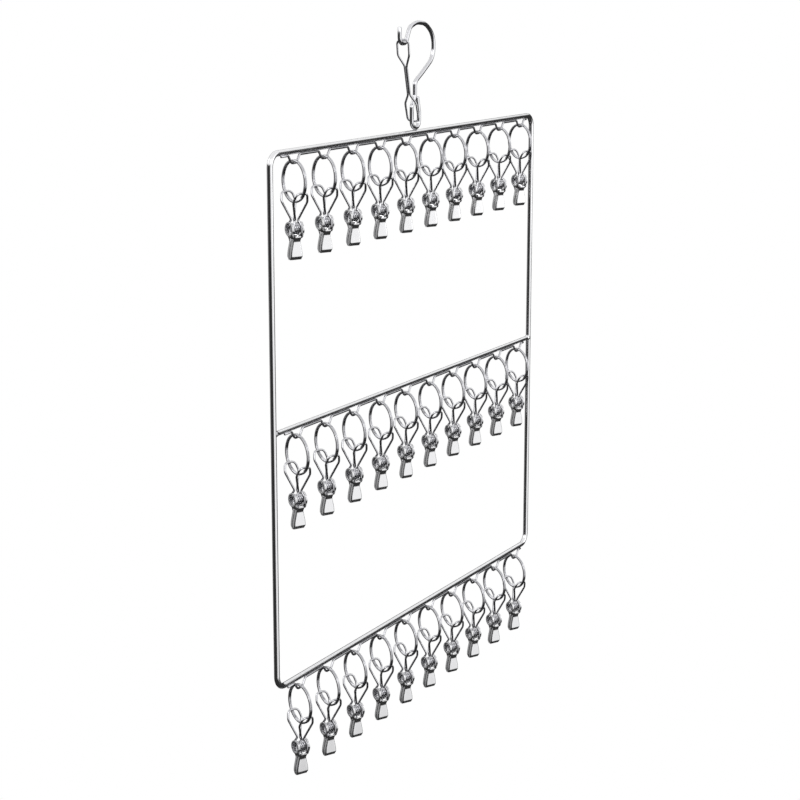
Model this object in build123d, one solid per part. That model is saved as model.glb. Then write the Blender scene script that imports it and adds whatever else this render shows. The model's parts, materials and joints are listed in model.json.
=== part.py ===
from build123d import *
import os

# Clip drying hanger: a welded stainless-steel wire frame with a windproof hook on top and three
# rows of spring clips, each clip hanging by a split ring from a dip in a thin wire.
# Millimetres, +Z up, +X along the bars, +Y away from the front.
# The origin is the saddle of the hook: the inner top of its arc, where a rail carries it.

# ---- driving sizes -----------------------------------------------------------------------
FRAME_WIDTH = 400.0        # side rod to side rod, centre lines
FRAME_HEIGHT = 362.0       # top bar to bottom bar, centre lines
CROSSBAR_DROP = 184.3      # crossbar below the top bar, centre lines
CORNER_RADIUS = 9.0
ROD_D = 4.0
CROSSBAR_D = 3.4
DIP_WIRE_D = 1.6
HOOK_D = 3.0
LATCH_D = 1.5
SPRING_D = 1.5

CLIPS_PER_ROW = 10
CLIP_PITCH = 38.7
FIRST_CLIP = 28.0          # from the left side rod's centre line
DIP_DEPTH = 5.2            # dip below the straight run of its wire
DIP_HALF_WIDTH = 7.0
DIP_RADIUS = 3.9
DIP_FORWARD = 1.0          # the dip wires are welded slightly in front of the bars' undersides
WELD = 0.12                # how far welded wires sink into each other
DIP_WIRE_INSET = 12.0      # free end of a dip wire, inside the side rod

CLIP_YAW = -26.0           # how far a hanging clip is turned about Z
RING_OUTER_D = 28.6
RING_RADIAL = 1.45
RING_AXIAL = 2.1
RING_PLAY = 0.12           # between the ring and the dip wire it hangs on
COIL_DROP = 31.2           # spring coil below the ring's centre
JAW_DROP = 20.3            # mouth of the jaws below the spring coil

SADDLE_ABOVE_BAR = 76.7    # inner top of the hook above the top bar's centre line
SADDLE_FROM_MIDDLE = 3.5   # hook arc centre, right of the frame's middle

MIDDLE_X = -SADDLE_FROM_MIDDLE
TOP_Z = -SADDLE_ABOVE_BAR
LEFT_X = MIDDLE_X - FRAME_WIDTH / 2
RIGHT_X = MIDDLE_X + FRAME_WIDTH / 2
ROW_Z = {"top": TOP_Z, "middle": TOP_Z - CROSSBAR_DROP, "bottom": TOP_Z - FRAME_HEIGHT}
BAR_D = {"top": ROD_D, "middle": CROSSBAR_D, "bottom": ROD_D}


def round_wire(points, radii, diameter):
    """Round wire along straight runs joined by arcs, one radius for each inner corner."""
    path = FilletPolyline(*points, radius=radii)
    start = Plane(origin=path @ 0, z_dir=path % 0)
    return sweep(start * Circle(diameter / 2), path=path)


def run_drop(row):
    """Depth of a dip wire's straight run below the centre line of the bar it is welded to."""
    reach = (BAR_D[row] + DIP_WIRE_D) / 2 - WELD
    return (reach**2 - DIP_FORWARD**2) ** 0.5


def clip_x(index):
    return LEFT_X + FIRST_CLIP + index * CLIP_PITCH


def dip_bottom_z(row):
    return ROW_Z[row] - run_drop(row) - DIP_DEPTH


# ---- the welded frame --------------------------------------------------------------------
def frame_rod():
    """One rod bent into a rectangle with rounded corners and butt welded."""
    outline = RectangleRounded(FRAME_WIDTH, FRAME_HEIGHT, CORNER_RADIUS)
    centre = Vector(MIDDLE_X, 0, TOP_Z - FRAME_HEIGHT / 2)
    path = (Plane(origin=centre, x_dir=(1, 0, 0), z_dir=(0, -1, 0)) * outline).wire()
    start = Plane(origin=path @ 0, z_dir=path % 0)
    return sweep(start * Circle(ROD_D / 2), path=path)


def crossbar():
    """Straight bar welded between the side rods."""
    end_gap = (ROD_D**2 - CROSSBAR_D**2) ** 0.5 / 2 - WELD
    length = FRAME_WIDTH - 2 * end_gap
    place = Plane(origin=(MIDDLE_X, 0, ROW_Z["middle"]), z_dir=(1, 0, 0))
    return place * Cylinder(CROSSBAR_D / 2, length)


def dip_wire(row):
    """Thin wire under a bar with a rounded dip for every clip."""
    run_z = ROW_Z[row] - run_drop(row)
    points = [(LEFT_X + DIP_WIRE_INSET, -DIP_FORWARD, run_z)]
    radii = []
    for index in range(CLIPS_PER_ROW):
        x = clip_x(index)
        for side_x, z in ((-DIP_HALF_WIDTH, run_z), (-3.2, run_z - DIP_DEPTH),
                          (3.2, run_z - DIP_DEPTH), (DIP_HALF_WIDTH, run_z)):
            points.append((x + side_x, -DIP_FORWARD, z))
        radii += [2.4, DIP_RADIUS, DIP_RADIUS, 2.4]
    points.append((RIGHT_X - DIP_WIRE_INSET, -DIP_FORWARD, run_z))
    return round_wire(points, radii, DIP_WIRE_D)


# ---- hook and latch ----------------------------------------------------------------------
def hook():
    """Hook of thick wire: stub and trough at the tip, arc, S-shaped shank, welded eye."""
    eye_z = (ROD_D + HOOK_D) / 2 - WELD
    outline = [(-25.4, 75.6), (-25.4, 64.4), (-16.4, 64.4), (-10.2, 75.6), (0.0, 78.6),
               (14.0, 77.6), (26.6, 69.0), (26.6, 53.0), (8.0, 42.0), (-2.3, 36.4), (-2.3, 26.5),
               (-7.1, 18.6), (-7.1, eye_z), (4.0, eye_z), (4.0, 14.5), (1.2, 25.3)]
    radii = [4.4, 4.2, 8.0, 20.0, 20.0, 14.0, 14.0, 18.0, 5.0, 4.5, 5.0, 5.3, 5.2, 3.0]
    points = [(MIDDLE_X + x, 0, TOP_Z + z) for x, z in outline]
    return round_wire(points, radii, HOOK_D)


LATCH_FOOT = (-4.3, 8.4)     # inside the hook's eye, from the frame's middle and the top bar
LATCH_TOP = (-20.9, 67.0)    # in the trough of the hook's tip
LATCH_PINCH = (-16.4, 48.5)  # upper end of the stretch where the strands lie together
LATCH_FORK = (-11.2, 27.5)   # lower end of it


def latch():
    """Closed loop of thin wire pinched into a figure of eight over the hook's shank."""
    foot_x, foot_z = LATCH_FOOT
    top_x, top_z = LATCH_TOP
    pinch_x, pinch_z = LATCH_PINCH
    fork_x, fork_z = LATCH_FORK
    pinch = (LATCH_D + 0.2) / 2
    half = [(foot_x, 0.0, foot_z), (foot_x, -4.5, foot_z), (foot_x - 4.3, -4.5, foot_z + 13),
            (fork_x, -pinch, fork_z), (pinch_x, -pinch, pinch_z), (top_x + 1.3, -4.6, top_z - 11),
            (top_x, -4.6, top_z), (top_x, 0.0, top_z)]
    points = [(MIDDLE_X + x, y, TOP_Z + z) for x, y, z in half]
    front = round_wire(points, [3.0, 5.0, 5.0, 6.0, 7.0, 3.4], LATCH_D)
    return front + mirror(front, about=Plane.XZ)


# ---- ring and clip, in a frame at the ring's centre: X along the spring coil, -Y front -----
def split_ring():
    """Split key ring, drawn closed: two flat turns of wire pressed together."""
    middle_radius = (RING_OUTER_D - RING_RADIAL) / 2
    section = Plane.XY * Pos(0, middle_radius) * RectangleRounded(RING_AXIAL, RING_RADIAL, 0.45)
    return revolve(section, axis=Axis.X)


HANDLE_Y = 9.6
HANDLE_Z = 24.0
HANDLE_HALF = 5.5
PINCH_HALF = 1.3
LEG_END = 5.5
EAR_RADIUS = 4.7
EAR_HOLE = 3.1
SHEET = 0.6
EAR_X = {"front": 4.5, "back": 3.7}      # middle of the ear's sheet
COIL_RADIUS = 3.7
COIL_LENGTH = 6.0


def handle(side):
    """Teardrop loop of spring wire from the ears up round the ring; side is -1 front, 1 back."""
    which = "front" if side < 0 else "back"
    reach = (HANDLE_Y**2 + HANDLE_Z**2) ** 0.5
    lean = Vector(0, side * HANDLE_Y / reach, HANDLE_Z / reach)
    foot_x = EAR_X[which]
    half = [(-foot_x, LEG_END), (-PINCH_HALF, LEG_END + 2.7), (-HANDLE_HALF, reach - 6.4),
            (-HANDLE_HALF + 1.6, reach)]
    outline = half + [(-x, along) for x, along in reversed(half)]
    points = [Vector(x, 0, 0) + lean * along for x, along in outline]
    loop = round_wire([tuple(p) for p in points], [1.4, 4.5, 3.5, 3.5, 4.5, 1.4], SPRING_D)
    return Pos(0, 0, -COIL_DROP) * loop


def coil():
    """Body of the torsion spring between the ears, as a solid of the coil's outer size."""
    return Pos(0, 0, -COIL_DROP) * (Plane.YZ * Cylinder(COIL_RADIUS, COIL_LENGTH))


def jaw_blank(half_ear, inset):
    """Solid jaw between its front outline and its side profile; inset makes the hollow."""
    low = -JAW_DROP - inset
    front = [(-half_ear, -4.0), (-half_ear, -5.2), (-3.0, -8.2), (-3.2, -12.0), (-4.5, -17.5),
             (-4.5, low)]
    front = [(x + inset, z) for x, z in front] + [(-x - inset, z) for x, z in reversed(front)]
    side = [(-4.7 + inset, -4.0), (-4.4 + inset, -5.4), (-3.3 + inset, -8.2), (-2.9 + inset, -9.5),
            (-2.9 + inset, -18.0), (-1.0 + inset, low), (-0.1, low), (-0.1 + 8 * inset, -4.0)]
    width = extrude(Plane.XZ * make_face(Polyline(*front, close=True)), amount=20, both=True)
    depth = extrude(Plane.YZ * make_face(Polyline(*side, close=True)), amount=20, both=True)
    return width & depth


def jaw(side):
    """Stamped sheet jaw: a channel with a neck, a bent lip and two ears round the coil."""
    which = "front" if side < 0 else "back"
    ear_x = EAR_X[which]
    half_ear = ear_x + SHEET / 2
    shell = jaw_blank(half_ear, 0.0) - jaw_blank(half_ear, SHEET)
    around_coil = Plane.YZ * Cylinder(EAR_RADIUS + 0.2, 2 * half_ear + 4)
    shell = shell - around_coil
    tab = Pos(0, -2.7, -4.0) * Box(SHEET, 3.0, 3.8)
    ear = (Plane.YZ * Cylinder(EAR_RADIUS, SHEET)) + tab
    ear = ear - (Plane.YZ * Cylinder(EAR_HOLE, 4 * SHEET))
    for x in (-ear_x, ear_x):
        shell = shell + Pos(x, 0, 0) * ear
    if side > 0:
        shell = mirror(shell, about=Plane.XZ)
    return Pos(0, 0, -COIL_DROP) * shell


def place_clip(row, index):
    ring_z = dip_bottom_z(row) + DIP_WIRE_D / 2 + RING_PLAY - (RING_OUTER_D / 2 - RING_RADIAL)
    return Pos(clip_x(index), -DIP_FORWARD, ring_z) * Rot(0, 0, CLIP_YAW)


# ---- build -------------------------------------------------------------------------------
def write(name, *solids):
    shape = solids[0] if len(solids) == 1 else Compound(children=list(solids))
    export_step(shape, f"parts/{name}.step")


def main():
    os.makedirs("parts", exist_ok=True)
    write("frame_rod", frame_rod())
    write("crossbar", crossbar())
    for row in ROW_Z:
        write(f"dip_wire_{row}", dip_wire(row))
    write("hook", hook())
    write("latch", latch())
    ring = split_ring()
    front_jaw = jaw(-1)
    back_jaw = jaw(1)
    front_handle = handle(-1)
    back_handle = handle(1)
    spring_coil = coil()
    for index in range(CLIPS_PER_ROW):
        number = f"{index + 1:02d}"
        place = place_clip("top", index)
        write(f"ring_top_{number}", place * ring)
        write(f"clip_back_top_{number}", place * back_jaw, place * spring_coil, place * back_handle)
        write(f"clip_front_top_{number}", place * front_jaw, place * front_handle)
        for row in ("middle", "bottom"):
            place = place_clip(row, index)
            pieces = (ring, back_jaw, spring_coil, back_handle, front_jaw, front_handle)
            write(f"ring_and_clip_{row}_{number}", *[place * piece for piece in pieces])


main()
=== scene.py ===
import json
from math import radians

import bpy
import numpy as np
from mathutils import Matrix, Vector


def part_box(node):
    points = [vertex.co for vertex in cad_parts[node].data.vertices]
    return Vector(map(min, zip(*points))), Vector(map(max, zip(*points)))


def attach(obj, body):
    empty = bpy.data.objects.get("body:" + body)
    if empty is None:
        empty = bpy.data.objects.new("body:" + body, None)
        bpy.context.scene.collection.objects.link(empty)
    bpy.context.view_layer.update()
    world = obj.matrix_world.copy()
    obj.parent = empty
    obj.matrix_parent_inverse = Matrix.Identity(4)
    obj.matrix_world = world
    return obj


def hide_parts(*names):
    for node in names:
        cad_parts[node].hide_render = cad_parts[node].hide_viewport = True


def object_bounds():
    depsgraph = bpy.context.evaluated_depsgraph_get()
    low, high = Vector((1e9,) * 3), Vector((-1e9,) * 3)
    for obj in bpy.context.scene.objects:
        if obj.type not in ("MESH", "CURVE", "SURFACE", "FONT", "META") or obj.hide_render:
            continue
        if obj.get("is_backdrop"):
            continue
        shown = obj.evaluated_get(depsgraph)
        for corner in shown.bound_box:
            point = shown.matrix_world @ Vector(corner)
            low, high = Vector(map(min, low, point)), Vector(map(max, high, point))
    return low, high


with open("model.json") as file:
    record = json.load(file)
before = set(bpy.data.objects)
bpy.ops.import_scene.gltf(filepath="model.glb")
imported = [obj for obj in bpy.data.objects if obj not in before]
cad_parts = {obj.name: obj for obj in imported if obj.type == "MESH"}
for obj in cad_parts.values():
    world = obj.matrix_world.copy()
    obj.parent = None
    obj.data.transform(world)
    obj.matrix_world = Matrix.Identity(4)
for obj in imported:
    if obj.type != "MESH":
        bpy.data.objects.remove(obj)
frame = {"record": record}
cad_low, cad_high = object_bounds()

MM = 0.001

# ==== Frame rod ===========================================================================
# One round stainless rod bent into a rectangle with rounded corners, butt welded at the middle
# of the bottom bar and electropolished. Everything else is welded to it or hangs from it.
ROD_RADIUS = 2.0 * MM
CORNER_RADIUS = 9.0 * MM


def unit(vectors):
    """Vectors divided by their own lengths."""
    return vectors / np.linalg.norm(vectors, axis=-1, keepdims=True)


def bent_path(points, radii, closed=False, arc_step=radians(7)):
    """Centre line of bent wire: straight runs joined by arcs.
    An arc of radius r that turns by t starts r*tan(t/2) before its corner; its points are
    centre + r*(-inward*cos(a) + run*sin(a)) for a from 0 to t."""
    points = np.asarray(points, dtype=float)
    count = len(points)
    corners = range(count) if closed else range(1, count - 1)
    pieces = [] if closed else [points[:1]]
    for corner, radius in zip(corners, radii):
        here = points[corner]
        run = unit(here - points[corner - 1])
        leave = unit(points[(corner + 1) % count] - here)
        turn = np.arccos(np.clip(run @ leave, -1, 1))
        inward = (leave - run * np.cos(turn)) / np.sin(turn)
        centre = here - run * radius * np.tan(turn / 2) + inward * radius
        angle = np.linspace(0, turn, int(turn / arc_step) + 3)[:, None]
        pieces.append(centre + radius * (run * np.sin(angle) - inward * np.cos(angle)))
    if not closed:
        pieces.append(points[-1:])
    return np.concatenate(pieces)


def grid_object(name, grid, closed_along, closed_across, caps=False, material=None):
    """Mesh of a grid of points (along, across, xyz), with a UV map in metres along and across."""
    rows, columns = grid.shape[:2]
    i = np.arange(rows if closed_along else rows - 1)[:, None]
    j = np.arange(columns if closed_across else columns - 1)[None, :]
    i_next, j_next = (i + 1) % rows, (j + 1) % columns
    quads = np.stack([i * columns + j, i * columns + j_next,
                      i_next * columns + j_next, i_next * columns + j], axis=-1).reshape(-1, 4)
    faces = quads.tolist()
    if caps:
        faces.append(list(range(columns))[::-1])
        faces.append(list(range((rows - 1) * columns, rows * columns)))
    mesh = bpy.data.meshes.new(name)
    mesh.from_pydata(grid.reshape(-1, 3).tolist(), [], faces)
    mesh.polygons.foreach_set("use_smooth", np.ones(len(faces), dtype=bool))
    steps = np.linalg.norm(np.diff(grid[:, 0], axis=0, append=grid[:1, 0]), axis=1)
    along = np.concatenate([[0.0], np.cumsum(steps)])
    hops = np.linalg.norm(np.diff(grid[rows // 2], axis=0, append=grid[rows // 2, :1]), axis=1)
    across = np.concatenate([[0.0], np.cumsum(hops)])
    u = np.stack([along[i], along[i], along[i + 1], along[i + 1]], axis=-1) + 0 * j[..., None]
    v = np.stack([across[j], across[j + 1], across[j + 1], across[j]], axis=-1) + 0 * i[..., None]
    flat = np.zeros((len(mesh.loops), 2), dtype=np.float32)
    flat[:quads.size] = np.stack([u.reshape(-1), v.reshape(-1)], axis=-1)
    mesh.uv_layers.new(name="Drawn").data.foreach_set("uv", flat.reshape(-1))
    if material:
        mesh.materials.append(material)
    obj = bpy.data.objects.new(name, mesh)
    bpy.context.scene.collection.objects.link(obj)
    return obj


def circle(radius, sides=16):
    """Points of a circle: (cos a, sin a) times the radius."""
    angle = np.arange(sides) / sides * 2 * np.pi
    return radius * np.stack([np.cos(angle), np.sin(angle)], axis=-1)


def swept_grid(path, profile, facing, closed=False, round_ends=0.0):
    """Profile carried along a path. At each point the frame is tangent, normal (the part of
    facing square to the tangent) and binormal (tangent x normal); a profile point (a, b) goes to
    path + a*normal + b*binormal. round_ends adds shrinking rings that dome the cut ends."""
    if closed:
        tangent = unit(np.roll(path, -1, axis=0) - np.roll(path, 1, axis=0))
    else:
        tangent = unit(np.gradient(path, axis=0))
    facing = np.broadcast_to(np.asarray(facing, dtype=float), path.shape)
    normal = unit(facing - (facing * tangent).sum(-1, keepdims=True) * tangent)
    binormal = np.cross(tangent, normal)
    grow = np.ones(len(path))
    if round_ends and not closed:
        angle = radians(1) * np.array([12, 35, 60, 90])
        tip, back = path[0], path[-1]
        first = tip - tangent[0] * round_ends * (np.cos(angle)[:, None])
        last = back + tangent[-1] * round_ends * (np.cos(angle[::-1])[:, None])
        path = np.concatenate([first[:-1], path, last[1:]])
        normal = np.concatenate([normal[[0] * 3], normal, normal[[-1] * 3]])
        binormal = np.concatenate([binormal[[0] * 3], binormal, binormal[[-1] * 3]])
        grow = np.concatenate([np.sin(angle[:-1]), grow, np.sin(angle[::-1][1:])])
    offset = (profile[None, :, :1] * normal[:, None] + profile[None, :, 1:] * binormal[:, None])
    return path[:, None] + grow[:, None, None] * offset


def new_group(name, inputs, outputs):
    """Empty shader node group with named sockets: (name, socket type, default)."""
    group = bpy.data.node_groups.new(name, "ShaderNodeTree")
    for label, kind, default in inputs:
        socket = group.interface.new_socket(name=label, in_out="INPUT", socket_type=kind)
        socket.default_value = default
    for label, kind in outputs:
        group.interface.new_socket(name=label, in_out="OUTPUT", socket_type=kind)
    return group, group.nodes.new("NodeGroupInput"), group.nodes.new("NodeGroupOutput")


def math_node(tree, operation, first, second):
    """Math node; each of first and second is a number or a socket to link."""
    node = tree.nodes.new("ShaderNodeMath")
    node.operation = operation
    for slot_index, value in enumerate((first, second)):
        if isinstance(value, (int, float)):
            node.inputs[slot_index].default_value = value
        else:
            tree.links.new(value, node.inputs[slot_index])
    return node.outputs[0]


LINE_SCALE = (60, 9000, 1)
LINE_DETAIL = 3.0
CLOUD_SCALE = 140.0
CLOUD_DETAIL = 4.0
MARK_SCALE = 900.0
MARK_DETAIL = 2.0
MARK_HEIGHT = 0.35
BUMP_DEPTH = 0.02 * MM


def noise_node(nodes, scale, detail):
    """Noise texture with its scale and detail set."""
    noise = nodes.new("ShaderNodeTexNoise")
    noise.inputs["Scale"].default_value = scale
    noise.inputs["Detail"].default_value = detail
    return noise


def drawn_metal_group():
    """Drawing lines along the wire, soft cloudy polish and small handling marks.
    Lines are noise stretched along U; clouds and marks are noise on Object coordinates."""
    group, given, result = new_group(
        "drawn_metal",
        [("Base Color", "NodeSocketColor", (0.8, 0.8, 0.8, 1)), ("Tint", "NodeSocketFloat", 0.05),
         ("Roughness", "NodeSocketFloat", 0.2), ("Spread", "NodeSocketFloat", 0.08),
         ("Lines", "NodeSocketFloat", 0.3)],
        [("Color", "NodeSocketColor"), ("Roughness", "NodeSocketFloat"),
         ("Height", "NodeSocketFloat")])
    nodes, links = group.nodes, group.links
    surface = nodes.new("ShaderNodeUVMap")
    surface.uv_map = "Drawn"
    stretch = nodes.new("ShaderNodeMapping")
    stretch.inputs["Scale"].default_value = LINE_SCALE
    links.new(surface.outputs["UV"], stretch.inputs["Vector"])
    lines = noise_node(nodes, 1.0, LINE_DETAIL)
    links.new(stretch.outputs["Vector"], lines.inputs["Vector"])
    place = nodes.new("ShaderNodeTexCoord")
    clouds = noise_node(nodes, CLOUD_SCALE, CLOUD_DETAIL)
    links.new(place.outputs["Object"], clouds.inputs["Vector"])
    marks = noise_node(nodes, MARK_SCALE, MARK_DETAIL)
    links.new(place.outputs["Object"], marks.inputs["Vector"])
    cloud = math_node(group, "SUBTRACT", clouds.outputs["Fac"], 0.5)
    line = math_node(group, "SUBTRACT", lines.outputs["Fac"], 0.5)
    streak = math_node(group, "MULTIPLY", line, given.outputs["Lines"])
    both = math_node(group, "ADD", cloud, streak)
    rough = math_node(group, "MULTIPLY", both, given.outputs["Spread"])
    rough = math_node(group, "MULTIPLY", rough, 2.0)
    rough = math_node(group, "ADD", rough, given.outputs["Roughness"])
    links.new(rough, result.inputs["Roughness"])
    shade = math_node(group, "MULTIPLY", both, given.outputs["Tint"])
    shade = math_node(group, "ADD", shade, 1.0)
    scale = nodes.new("ShaderNodeVectorMath")
    scale.operation = "SCALE"
    links.new(given.outputs["Base Color"], scale.inputs[0])
    links.new(shade, scale.inputs["Scale"])
    links.new(scale.outputs[0], result.inputs["Color"])
    height = math_node(group, "MULTIPLY", marks.outputs["Fac"], MARK_HEIGHT)
    height = math_node(group, "ADD", height, streak)
    links.new(height, result.inputs["Height"])
    return group


DRAWN_METAL = drawn_metal_group()


def steel(name, colour, tint, roughness, spread, lines, bump):
    """Stainless steel: the drawn_metal group drives colour, roughness and a fine bump."""
    material = bpy.data.materials.new(name)
    material.use_nodes = True
    nodes, links = material.node_tree.nodes, material.node_tree.links
    shader = nodes["Principled BSDF"]
    shader.inputs["Metallic"].default_value = 1.0
    finish = nodes.new("ShaderNodeGroup")
    finish.node_tree = DRAWN_METAL
    finish.inputs["Base Color"].default_value = (*colour, 1)
    finish.inputs["Tint"].default_value = tint
    finish.inputs["Roughness"].default_value = roughness
    finish.inputs["Spread"].default_value = spread
    finish.inputs["Lines"].default_value = lines
    relief = nodes.new("ShaderNodeBump")
    relief.inputs["Strength"].default_value = bump
    relief.inputs["Distance"].default_value = BUMP_DEPTH
    links.new(finish.outputs["Color"], shader.inputs["Base Color"])
    links.new(finish.outputs["Roughness"], shader.inputs["Roughness"])
    links.new(finish.outputs["Height"], relief.inputs["Height"])
    links.new(relief.outputs["Normal"], shader.inputs["Normal"])
    return material


rod_steel = steel("rod_steel", (0.72, 0.72, 0.73), 0.10, 0.15, 0.06, 0.5, 0.25)
rod_low, rod_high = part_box("frame_rod")
LEFT = rod_low[0] + ROD_RADIUS
RIGHT = rod_high[0] - ROD_RADIUS
TOP = rod_high[2] - ROD_RADIUS
BOTTOM = rod_low[2] + ROD_RADIUS
corners = [(LEFT, 0, TOP), (RIGHT, 0, TOP), (RIGHT, 0, BOTTOM), (LEFT, 0, BOTTOM)]
rod_path = bent_path(corners, [CORNER_RADIUS] * 4, closed=True)
rod_grid = swept_grid(rod_path, circle(ROD_RADIUS, 24), (0, 1, 0), True)
rod = grid_object("frame_rod_drawn", rod_grid, True, True, material=rod_steel)
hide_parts("frame_rod")
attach(rod, "frame")

# ==== Crossbar ============================================================================
# Straight bar a little thinner than the frame, resistance welded between the side rods at
# mid-height, with a small collar of melted metal where each end meets its rod.
CROSSBAR_RADIUS = 1.7 * MM
WELD_LENGTH = 1.6 * MM
WELD_SWELL = 0.55 * MM
WELD_ZONE = 6.0 * MM
FIRST_PLAIN_POINT = 30.0 * MM
bar_low, bar_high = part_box("crossbar")
bar_z = (bar_low[2] + bar_high[2]) / 2


def welded_bar_grid(start, stop, z, radius):
    """Bar along X whose radius swells by WELD_SWELL*exp(-(d/WELD_LENGTH)^2), where d is the
    distance from the surface of the side rod that it is welded to."""
    near_end = np.append(np.linspace(0, WELD_ZONE, 16), FIRST_PLAIN_POINT)
    span = stop - start
    x = np.concatenate([near_end, span - near_end[::-1]])
    from_rod = np.minimum(x, span - x) - ROD_RADIUS * 0.45
    swell = WELD_SWELL * np.exp(-(np.maximum(from_rod, 0) / WELD_LENGTH) ** 2)
    path = np.stack([start + x, 0 * x, z + 0 * x], axis=-1)
    ring = circle(1.0, 20)
    size = (radius + swell)[:, None, None]
    return path[:, None] + size * np.stack([0 * ring[:, 0], -ring[:, 0], ring[:, 1]], axis=-1)


bar_grid = welded_bar_grid(bar_low[0], bar_high[0], bar_z, CROSSBAR_RADIUS)[:, ::-1]
bar = grid_object("crossbar_welded", bar_grid, False, True, caps=True, material=rod_steel)
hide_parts("crossbar")
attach(bar, "frame")

# ==== Dip wires ===========================================================================
# Thin bright wire pressed into a row of rounded dips, one for each ring, and spot welded under
# the top bar, the crossbar and the bottom bar. Its cut ends stop short of the side rods.
DIP_RADIUS_OF_WIRE = 0.8 * MM
joints = {joint["name"]: joint for joint in frame["record"]["behaviour"]["joints"]}
ROWS = ("top", "middle", "bottom")
CLIPS = 10
DIP_HALF = 7.0 * MM
DIP_FLOOR = 3.2 * MM
DIP_TOP_BEND = 2.4 * MM
DIP_FLOOR_BEND = 3.9 * MM
wire_steel = steel("wire_steel", (0.52, 0.52, 0.54), 0.12, 0.15, 0.07, 0.6, 0.3)


def swing_joint(row, index):
    """Joint at the bottom of a dip, about which a ring swings."""
    kind = "ring_swing" if row == "top" else "clip_swing"
    return joints[f"{kind}_{row}_{index + 1:02d}"]


for row in ROWS:
    low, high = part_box(f"dip_wire_{row}")
    run_z = high[2] - DIP_RADIUS_OF_WIRE
    floor_z = low[2] + DIP_RADIUS_OF_WIRE
    wire_y = (low[1] + high[1]) / 2
    points = [(low[0] + DIP_RADIUS_OF_WIRE * 0.5, wire_y, run_z)]
    for index in range(CLIPS):
        x = swing_joint(row, index)["pos_m"][0]
        points += [(x - DIP_HALF, wire_y, run_z), (x - DIP_FLOOR, wire_y, floor_z),
                   (x + DIP_FLOOR, wire_y, floor_z), (x + DIP_HALF, wire_y, run_z)]
    points.append((high[0] - DIP_RADIUS_OF_WIRE * 0.5, wire_y, run_z))
    radii = [DIP_TOP_BEND, DIP_FLOOR_BEND, DIP_FLOOR_BEND, DIP_TOP_BEND] * CLIPS
    grid = swept_grid(bent_path(points, radii), circle(DIP_RADIUS_OF_WIRE, 14), (0, 1, 0),
                      round_ends=DIP_RADIUS_OF_WIRE * 0.5)
    dips = grid_object(f"dip_wire_{row}_drawn", grid, False, True, caps=True, material=wire_steel)
    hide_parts(f"dip_wire_{row}")
    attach(dips, "frame")

# ==== Hook ================================================================================
# Polished wire bent on a jig: a stub and a trough at the tip for the latch, the arc that hangs
# on the rail, an S-shaped shank, and an eye whose bottom is welded on top of the frame.
HOOK_RADIUS = 1.5 * MM
HOOK_OUTLINE = [(-25.4, 75.6), (-25.4, 64.4), (-16.4, 64.4), (-10.2, 75.6), (0.0, 78.6),
                (14.0, 77.6), (26.6, 69.0), (26.6, 53.0), (8.0, 42.0), (-2.3, 36.4), (-2.3, 26.5),
                (-7.1, 18.6), (-7.1, 3.38), (4.0, 3.38), (4.0, 14.5), (1.2, 25.3)]
HOOK_RADII = [4.4, 4.2, 8.0, 20.0, 20.0, 14.0, 14.0, 18.0, 5.0, 4.5, 5.0, 5.3, 5.2, 3.0]
MIDDLE = (LEFT + RIGHT) / 2
hook_steel = steel("hook_steel", (0.60, 0.60, 0.62), 0.08, 0.13, 0.05, 0.35, 0.2)
points = [(MIDDLE + x * MM, 0, TOP + z * MM) for x, z in HOOK_OUTLINE]
grid = swept_grid(bent_path(points, np.array(HOOK_RADII) * MM, arc_step=radians(5)),
                  circle(HOOK_RADIUS, 24), (0, 1, 0), round_ends=HOOK_RADIUS * 0.35)
bent_hook = grid_object("hook_bent", grid, False, True, caps=True, material=hook_steel)
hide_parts("hook")
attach(bent_hook, "frame")

# ==== Latch ===============================================================================
# Closed loop of thin spring wire pinched into a figure of eight. Its lower end sits in the
# hook's eye astride the shank, and its upper end lies in the trough and closes the hook.
LATCH_RADIUS = 0.75 * MM
LATCH_HALF = [(-4.3, -4.5, 8.4), (-8.6, -4.5, 21.4), (-11.2, -0.85, 27.5), (-16.4, -0.85, 48.5),
              (-19.6, -4.6, 56.0), (-20.9, -4.6, 67.0)]
LATCH_BENDS = [3.0, 5.0, 5.0, 6.0, 7.0, 3.4]
half = np.array(LATCH_HALF)
loop = np.concatenate([half, half[::-1] * (1, -1, 1)]) * MM + (MIDDLE, 0, TOP)
path = bent_path(loop, np.array(LATCH_BENDS + LATCH_BENDS[::-1]) * MM, closed=True)
grid = swept_grid(path, circle(LATCH_RADIUS, 14), (1, 0, 0.25), closed=True)
latch_wire = grid_object("latch_wire", grid, True, True, material=wire_steel)
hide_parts("latch")
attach(latch_wire, "latch")

# ==== Split rings =========================================================================
# Key ring of two flat turns of spring wire pressed together, with a joggle where the wire
# crosses from one turn to the other beside its two ground ends.
RING_MIDDLE = 13.575
RING_RADIAL = 1.45
TURN_WIDTH = 1.0
TURN_OFFSET = 0.53
JOGGLE_SLOPE = radians(6.6)
END_GAP = radians(17.6)
RING_START = radians(205)
RING_END_BLUNT = 0.15 * MM
ring_steel = steel("ring_steel", (0.52, 0.52, 0.54), 0.12, 0.14, 0.07, 0.7, 0.3)
hang = joints["clip_swing_top_01"]
RING_DROP = joints["ring_swing_top_01"]["pos_m"][2] - hang["pos_m"][2]
ALONG_COIL = unit(np.array(hang["axis"], dtype=float))
UP = np.array([0.0, 0.0, 1.0])
TO_BACK = np.cross(UP, ALONG_COIL)


def ring_centre(row, index):
    """Centre of a ring, RING_DROP below the bottom of its dip."""
    return np.array(swing_joint(row, index)["pos_m"]) - (0, 0, RING_DROP)


def placed(local, centre):
    """Millimetres in a clip's own axes (along the coil, to the back, up) as row coordinates."""
    turned = np.stack([ALONG_COIL, TO_BACK, UP])
    return centre + MM * (np.asarray(local) @ turned)


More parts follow.
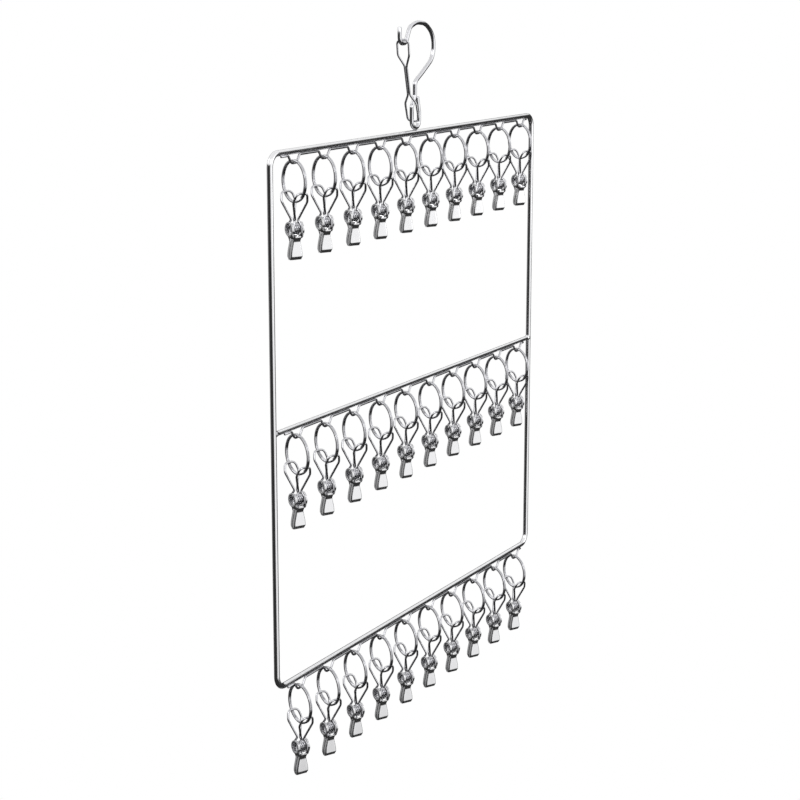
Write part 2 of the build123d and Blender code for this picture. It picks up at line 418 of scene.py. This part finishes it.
def turned_only(local):
    """Directions in a clip's own axes as row directions."""
    return np.asarray(local) @ np.stack([ALONG_COIL, TO_BACK, UP])


def soft_box(width, height, sides, power=0.55):
    """Rounded rectangle: (cos a, sin a) with each part raised to a power under one."""
    angle = (np.arange(sides) + 0.5) / sides * 2 * np.pi
    c, s = np.cos(angle), np.sin(angle)
    return 0.5 * np.stack([width * np.sign(c) * abs(c) ** power,
                           height * np.sign(s) * abs(s) ** power], axis=-1)


def split_ring_wire():
    """Path, outward directions and profile of two turns of a circle. The offset along the axis
    is TURN_OFFSET*tanh(angle/JOGGLE_SLOPE) about the crossing between the turns."""
    angle = np.linspace(END_GAP - 2 * np.pi, 2 * np.pi - END_GAP, 150)
    around = angle + RING_START
    out = np.stack([0 * around, np.sin(around), np.cos(around)], axis=-1)
    path = RING_MIDDLE * out
    path[:, 0] = TURN_OFFSET * np.tanh(angle / JOGGLE_SLOPE)
    profile = soft_box(RING_RADIAL, TURN_WIDTH, 12)
    return path, out, profile


ring_path, ring_out, ring_profile = split_ring_wire()


def clip_object(name, path, facing, profile, centre, material, body, node, blunt):
    """Swept wire of a ring or a spring, put in its place on the hanger."""
    grid = swept_grid(placed(path, centre), profile * MM, turned_only(facing), round_ends=blunt)
    obj = grid_object(name, grid, False, True, caps=True, material=material)
    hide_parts(node)
    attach(obj, body)


for row in ROWS:
    for index in range(CLIPS):
        number = f"{index + 1:02d}"
        owner = f"ring_top_{number}" if row == "top" else f"ring_and_clip_{row}_{number}"
        clip_object(f"split_ring_{row}_{number}", ring_path, ring_out, ring_profile,
                    ring_centre(row, index), ring_steel, owner, owner,
                    RING_END_BLUNT)

# ==== Clip springs ========================================================================
# One wire for each clip: down inside the front jaw, up into the front handle loop, round the
# coil, up into the back handle loop and down inside the back jaw. It pushes the jaws shut.
# On the top row it is parted at the end of the coil, so that the front half can turn.
SPRING_RADIUS = 0.75
COIL_DROP = 31.2
COIL_MIDDLE = 2.95
COIL_TURNS = 3.5
COIL_PITCH = 1.52
HANDLE_TOP = (9.6, 24.0)
REACH = float(np.hypot(*HANDLE_TOP))
PINCH = 6.4
LOOP_HALF = 5.5
LOOP_TOP_HALF = 3.9
LEG_OUTLINE = [(3.0, -1.75, -15.0), (2.1, -1.8, -8.6), (2.45, -4.55, -2.6), (2.2, -4.55, 2.4)]
SPRING_BENDS = [3.0, 3.0, 2.0, 2.0, 4.5, 3.5, 3.5, 4.5, 2.0, 1.5]
SPRING_END_BLUNT = 0.3 * MM
LEAN = np.array([0.0, -HANDLE_TOP[0] / REACH, HANDLE_TOP[1] / REACH])
spring_steel = steel("spring_steel", (0.52, 0.52, 0.54), 0.10, 0.13, 0.06, 0.6, 0.3)


def spring_parts():
    """Front leg and loop as bent wire; the coil as a helix (x grows with the angle a, y =
    -r*cos(a), z = -r*sin(a)); the back is the front turned half a turn about the upright axis."""
    end_x = COIL_TURNS * COIL_PITCH / 2
    one_side = [(1.0, PINCH), (LOOP_HALF, REACH - PINCH), (LOOP_TOP_HALF, REACH)]
    other_side = [(-x, along) for x, along in one_side[::-1]]
    loop_points = [(x, *(LEAN[1:] * along)) for x, along in one_side + other_side]
    to_coil = [(-end_x, -COIL_MIDDLE, 2.2), (-end_x, -COIL_MIDDLE, 0.0)]
    front = bent_path(LEG_OUTLINE + loop_points + to_coil, SPRING_BENDS)
    angle = np.linspace(0, COIL_TURNS * 2 * np.pi, int(COIL_TURNS * 20))
    coil = np.stack([-end_x + angle / (2 * np.pi) * COIL_PITCH, -COIL_MIDDLE * np.cos(angle),
                     -COIL_MIDDLE * np.sin(angle)], axis=-1)
    square = np.array([0.0, -LEAN[2], LEAN[1]])
    front_facing = np.broadcast_to(square, front.shape)
    coil_facing = coil * (0, 1, 1)
    back = front[::-1] * (-1, -1, 1)
    back_facing = front_facing[::-1] * (-1, -1, 1)
    return (front, front_facing), (coil[1:-1], coil_facing[1:-1]), (back, back_facing)


front_wire, coil_wire, back_wire = spring_parts()
back_with_coil = [np.concatenate(pair) for pair in zip(coil_wire, back_wire)]
whole_wire = [np.concatenate(three) for three in zip(front_wire, coil_wire, back_wire)]
spring_profile = circle(SPRING_RADIUS, 12)
drop = np.array([0, 0, COIL_DROP * MM])
for row in ROWS:
    for index in range(CLIPS):
        number = f"{index + 1:02d}"
        centre = ring_centre(row, index) - drop
        if row == "top":
            wires = ((f"spring_front_{row}_{number}", front_wire, f"clip_front_top_{number}"),
                     (f"spring_back_{row}_{number}", back_with_coil, f"clip_back_top_{number}"))
        else:
            wires = ((f"spring_{row}_{number}", whole_wire, f"ring_and_clip_{row}_{number}"),)
        for name, (path, facing), owner in wires:
            clip_object(name, path, facing, spring_profile, centre, spring_steel, owner, owner,
                        SPRING_END_BLUNT)

# ==== Jaws ================================================================================
# Each jaw is one stamping: a plate that widens to the mouth, a crease above its lip, side walls
# folded back from the plate, and two round ears that hold the spring's coil between them.
# The front jaw's ears lie outside the back jaw's.
SHEET = 0.6
PLATE_TOP = -4.6
MOUTH = -20.3
CREASE = -18.2
EAR_RADIUS = 4.8
EAR_HOLE = 3.75
FRONT_EAR_X = 4.5
BACK_EAR_X = 3.7
NECK_ANGLE = radians(152)
NECK_LENGTH = 1.9
NECK_LEAN = 0.55
PLATE_CORNER = 0.55
EDGE_ROUND = 0.12
jaw_steel = steel("jaw_steel", (0.74, 0.74, 0.75), 0.08, 0.20, 0.07, 0.25, 0.35)


def smooth(value, start, stop):
    """Zero before start, one after stop, and 3t^2 - 2t^3 between them."""
    t = np.clip((value - start) / (stop - start), 0, 1)
    return t * t * (3 - 2 * t)


def jaw_channel(ear_x):
    """Middle surface of plate and side walls, as a U-shaped section for each height z.
    Half-width and depth of the U are smooth functions of z; its corners are quarter circles."""
    z = np.concatenate([np.linspace(PLATE_TOP, -9, 9), np.linspace(-9.6, CREASE + 0.5, 9),
                        np.linspace(CREASE + 0.25, MOUTH, 7)])[:, None]
    half = 2.3 + 1.9 * smooth(-z, 5.5, 17.5)
    wall = half + (ear_x - half) * (1 - smooth(-z, 4.6, 6.9))
    depth = 2.6 + 1.5 * (1 - smooth(-z, 5.0, 8.6)) - 1.55 * smooth(-z, 18.0, 20.4)
    bend = np.linspace(0, np.pi / 2, 6)[None, :]
    side = np.linspace(0, 1, 7)[None, :-1]
    edge = 0.32 + 1.5 * (1 - smooth(-z, 5.0, 9.5))
    wall_y = edge + (depth - PLATE_CORNER - edge) * side
    wall_x = wall + (half - wall) * side
    turn_x = half - PLATE_CORNER + PLATE_CORNER * np.cos(bend)
    turn_y = depth - PLATE_CORNER + PLATE_CORNER * np.sin(bend)
    across = np.linspace(1, -1, 9)[None, 1:-1]
    face_x = (half - PLATE_CORNER) * across
    face_y = depth + 0 * across
    x = np.concatenate([wall_x, turn_x, face_x, -turn_x[:, ::-1], -wall_x[:, ::-1]], axis=1)
    y = np.concatenate([wall_y, turn_y, face_y, turn_y[:, ::-1], wall_y[:, ::-1]], axis=1)
    return np.stack([x, -y, z + 0 * x], axis=-1)


def jaw_ear(ear_x, side):
    """Ear and its neck in the plane x = ear_x: rays from the hole's edge to an outline that is a
    circle, drawn out below into the neck that runs down to the side wall."""
    ray = np.arange(48) / 48 * 2 * np.pi
    to_neck = np.cos(ray - NECK_ANGLE)
    stretch = NECK_LENGTH * np.clip(to_neck, 0, 1) ** 16
    rings = np.linspace(0, 1, 4)[:, None]
    radius = EAR_HOLE + (EAR_RADIUS + stretch - EAR_HOLE)[None, :] * rings
    y = -radius * np.sin(ray)
    z = radius * np.cos(ray)
    lean_in = NECK_LEAN * np.clip(radius - EAR_RADIUS, 0, None)
    return np.stack([(ear_x - lean_in) * side, y, z], axis=-1)


def jaw_object(name, grids, centre, back, owner):
    """Joins a jaw's (surface, closed across) pairs into one sheet and gives it thickness."""
    parts = []
    for part_index, (grid, wrap) in enumerate(grids):
        local = grid * (-1, -1, 1) if back else grid
        parts.append(grid_object(f"{name}_{part_index}", placed(local, centre), False, wrap))
    with bpy.context.temp_override(active_object=parts[0], object=parts[0],
                                   selected_objects=parts, selected_editable_objects=parts):
        bpy.ops.object.join()
    obj = parts[0]
    obj.name = name
    obj.data.materials.append(jaw_steel)
    thick = obj.modifiers.new("Sheet", "SOLIDIFY")
    thick.thickness = SHEET * MM
    thick.offset = 0.0
    rounded = obj.modifiers.new("Edges", "BEVEL")
    rounded.width = EDGE_ROUND * MM
    rounded.segments = 2
    rounded.limit_method = "ANGLE"
    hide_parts(owner)
    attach(obj, owner)


for row in ROWS:
    for index in range(CLIPS):
        number = f"{index + 1:02d}"
        centre = ring_centre(row, index) - drop
        for label, ear_x, back in (("front", FRONT_EAR_X, False), ("back", BACK_EAR_X, True)):
            owner = (f"clip_{label}_top_{number}" if row == "top"
                     else f"ring_and_clip_{row}_{number}")
            grids = [(jaw_channel(ear_x), False)]
            grids += [(jaw_ear(ear_x, side), True) for side in (-1, 1)]
            jaw_object(f"jaw_{label}_{row}_{number}", grids, centre, back, owner)

# ==== Floor, light and camera =============================================================
# Not part of the hanger: a white floor that only the camera sees, a studio of soft bright
# bands for the steel to reflect, three weak lamps and the camera.
WHITE = (1, 1, 1, 1)
FLOOR_Z = cad_low[2] - 0.9
FLOOR_SIZE = 30.0
floor_mesh = bpy.data.meshes.new("floor")
floor_mesh.from_pydata([(-FLOOR_SIZE, -FLOOR_SIZE, FLOOR_Z), (FLOOR_SIZE, -FLOOR_SIZE, FLOOR_Z),
                        (FLOOR_SIZE, FLOOR_SIZE, FLOOR_Z), (-FLOOR_SIZE, FLOOR_SIZE, FLOOR_Z)],
                       [], [(0, 1, 2, 3)])
floor = bpy.data.objects.new("floor", floor_mesh)
bpy.context.scene.collection.objects.link(floor)
floor_paint = bpy.data.materials.new("floor_paint")
floor_paint.use_nodes = True
paint_nodes, paint_links = floor_paint.node_tree.nodes, floor_paint.node_tree.links
pale = paint_nodes.new("ShaderNodeEmission")
pale.inputs["Color"].default_value = WHITE
clear = paint_nodes.new("ShaderNodeBsdfTransparent")
seen = paint_nodes.new("ShaderNodeLightPath")
choose = paint_nodes.new("ShaderNodeMixShader")
paint_links.new(seen.outputs["Is Camera Ray"], choose.inputs["Fac"])
paint_links.new(clear.outputs[0], choose.inputs[1])
paint_links.new(pale.outputs[0], choose.inputs[2])
paint_links.new(choose.outputs[0], paint_nodes["Material Output"].inputs["Surface"])
floor_mesh.materials.append(floor_paint)
floor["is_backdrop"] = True

world = bpy.data.worlds.new("studio")
world.use_nodes = True
bpy.context.scene.world = world
bpy.context.scene.view_settings.view_transform = "Standard"
tree = world.node_tree
sky = tree.nodes["Background"]
coordinate = tree.nodes.new("ShaderNodeTexCoord")
split = tree.nodes.new("ShaderNodeSeparateXYZ")
tree.links.new(coordinate.outputs["Generated"], split.inputs[0])


def band(axis_socket, dark_at, bright_at, strength):
    """Strength times a smooth step of one direction component between two values."""
    spread = tree.nodes.new("ShaderNodeMapRange")
    spread.interpolation_type = "SMOOTHSTEP"
    spread.inputs["From Min"].default_value = dark_at
    spread.inputs["From Max"].default_value = bright_at
    spread.inputs["To Min"].default_value = 0.0
    spread.inputs["To Max"].default_value = strength
    tree.links.new(axis_socket, spread.inputs["Value"])
    return spread.outputs["Result"]


DARKEST = 0.035
overhead = band(split.outputs["Z"], 0.18, 0.42, 1.1)
front_wall = band(split.outputs["Y"], -0.62, -0.86, 1.15)
above_ground = band(split.outputs["Z"], -0.55, -0.32, 1.0)
back_wall = band(split.outputs["Y"], 0.85, 0.99, 0.35)
walls = math_node(tree, "ADD", front_wall, back_wall)
walls = math_node(tree, "MULTIPLY", walls, above_ground)
glow = math_node(tree, "MAXIMUM", overhead, walls)
glow = math_node(tree, "ADD", glow, DARKEST)
tree.links.new(glow, sky.inputs["Strength"])
sky.inputs["Color"].default_value = WHITE
white = tree.nodes.new("ShaderNodeBackground")
white.inputs["Color"].default_value = WHITE
white.inputs["Strength"].default_value = 1.0
mix = tree.nodes.new("ShaderNodeMixShader")
ray_kind = tree.nodes.new("ShaderNodeLightPath")
tree.links.new(ray_kind.outputs["Is Camera Ray"], mix.inputs["Fac"])
tree.links.new(sky.outputs[0], mix.inputs[1])
tree.links.new(white.outputs[0], mix.inputs[2])
tree.links.new(mix.outputs[0], tree.nodes["World Output"].inputs["Surface"])


def soft_light(name, place, aim, size, power):
    """Square area light at a place, turned to face a point."""
    data = bpy.data.lights.new(name, "AREA")
    data.size = size
    data.energy = power
    obj = bpy.data.objects.new(name, data)
    obj.location = place
    obj.rotation_euler = (Vector(aim) - Vector(place)).to_track_quat("-Z", "Y").to_euler()
    bpy.context.scene.collection.objects.link(obj)


HEART = (MIDDLE, 0, (TOP + BOTTOM) / 2)
soft_light("key", (-1.6, -1.6, 1.4), HEART, 1.2, 12)
soft_light("fill", (1.2, -1.8, 0.2), HEART, 1.4, 6)
soft_light("rim", (-0.8, 1.9, 0.9), HEART, 1.0, 8)

HEIGHT = TOP - BOTTOM
CAMERA_FROM_CORNER = (-2.936, -1.853, 0.317)
CAMERA_YAW = radians(61.55)
CAMERA_PITCH = radians(12.39)
SENSOR_WIDTH = 36.0
LENS = 87.9
camera_data = bpy.data.cameras.new("camera")
camera_data.sensor_width = SENSOR_WIDTH
camera_data.lens = LENS
camera = bpy.data.objects.new("camera", camera_data)
camera.location = (LEFT + CAMERA_FROM_CORNER[0] * HEIGHT, CAMERA_FROM_CORNER[1] * HEIGHT,
                   TOP + CAMERA_FROM_CORNER[2] * HEIGHT)
camera.rotation_euler = (radians(90) - CAMERA_PITCH, 0, -CAMERA_YAW)
bpy.context.scene.collection.objects.link(camera)
bpy.context.scene.camera = camera

low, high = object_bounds()
